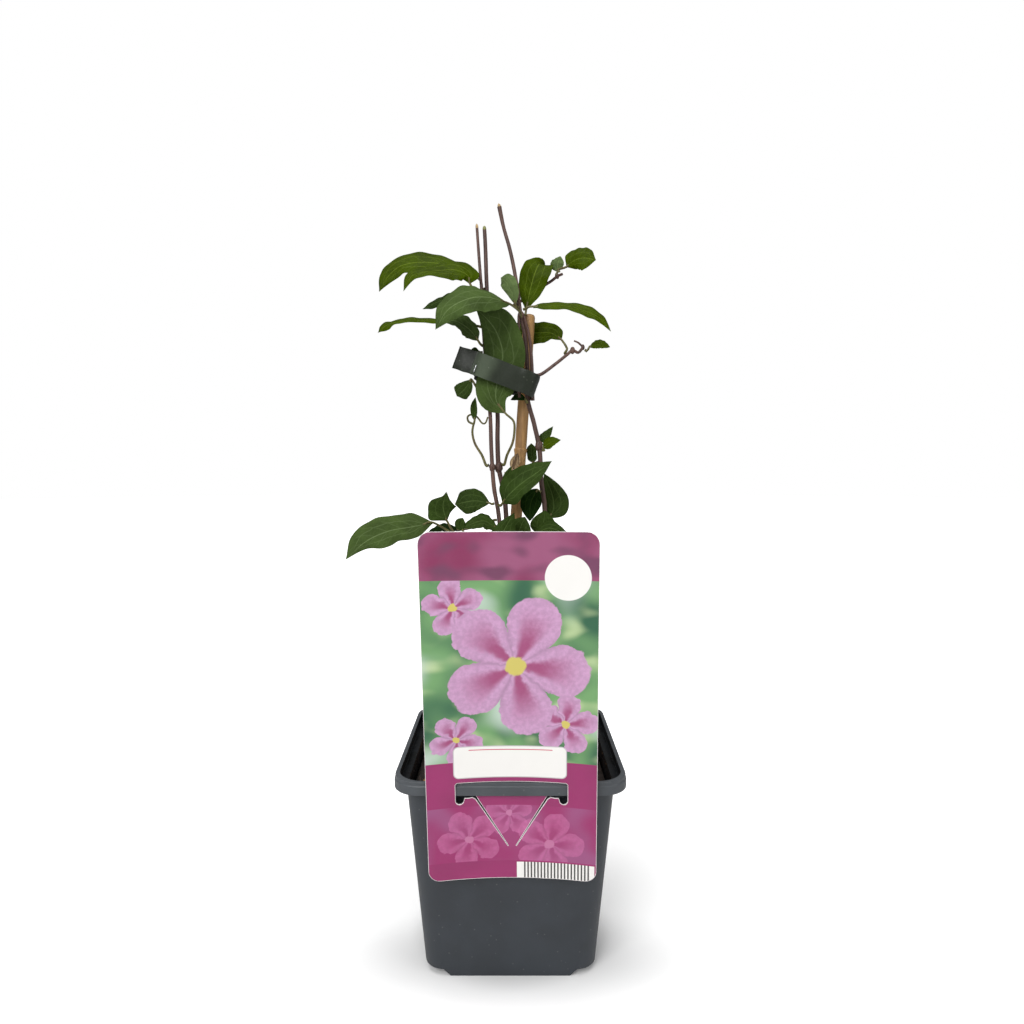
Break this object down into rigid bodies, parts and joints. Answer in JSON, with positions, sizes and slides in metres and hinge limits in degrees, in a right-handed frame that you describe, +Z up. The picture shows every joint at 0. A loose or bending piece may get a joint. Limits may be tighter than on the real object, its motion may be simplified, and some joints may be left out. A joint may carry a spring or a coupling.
{
  "type": "potted clematis plant",
  "caption": "Young climbing clematis in a square nursery pot, tied to a bamboo cane with plastic tape, with a flower label card hooked on the rim.",
  "frame": {"origin": "middle of the pot's flat foot", "axes": "+Z up along the plant, -Y towards the label card, +X to the right seen from the label"},
  "size_m": [0.111, 0.1029, 0.3106],
  "materials": {
    "pot": "moulded dark grey plastic, satin, lightly scuffed",
    "soil": "rough bark and fibre compost",
    "cane": "dry bamboo, satin",
    "stem": "thin red-brown bark",
    "leaf": "waxy green leaf with sunken veins",
    "dry_leaf": "withered, papery",
    "tie": "dark green-grey tape with a soft sheen",
    "staple": "bright wire",
    "card": "printed plastic card with a soft gloss"
  },
  "bodies": {
    "root": {"pot": "pot", "soil": "soil", "bamboo_cane": "cane", "stem_left": "stem", "stem_middle": "stem", "stem_right": "stem", "side_stem_right": "stem", "side_stem_top": "stem", "tape_tie": "tie", "staple": "staple", "label_card": "card", "dry_leaf": "dry_leaf", "crown_leaf_1": "leaf", "crown_leaf_2": "leaf", "crown_leaf_3": "leaf", "crown_leaf_4": "leaf", "crown_leaf_5": "leaf", "crown_leaf_6": "leaf", "crown_leaf_7": "leaf", "crown_leaf_8": "leaf", "crown_leaf_9": "leaf", "crown_leaf_10": "leaf", "crown_leaf_11": "leaf", "crown_leaf_12": "leaf", "side_leaf_1": "leaf", "side_leaf_2": "leaf", "bound_leaf": "leaf", "tie_leaf_1": "leaf", "tie_leaf_2": "leaf", "loop_leaf": "leaf", "middle_leaf_1": "leaf", "middle_leaf_2": "leaf", "middle_leaf_3": "leaf", "low_leaf_1": "leaf", "low_leaf_2": "leaf", "low_leaf_3": "leaf", "low_leaf_4": "leaf", "low_leaf_5": "leaf", "low_leaf_6": "leaf", "low_leaf_7": "leaf", "low_leaf_8": "leaf", "low_leaf_9": "leaf", "low_leaf_10": "leaf", "low_leaf_11": "leaf", "low_leaf_12": "leaf", "low_leaf_13": "leaf", "low_leaf_14": "leaf"}
  },
  "joints": []
}
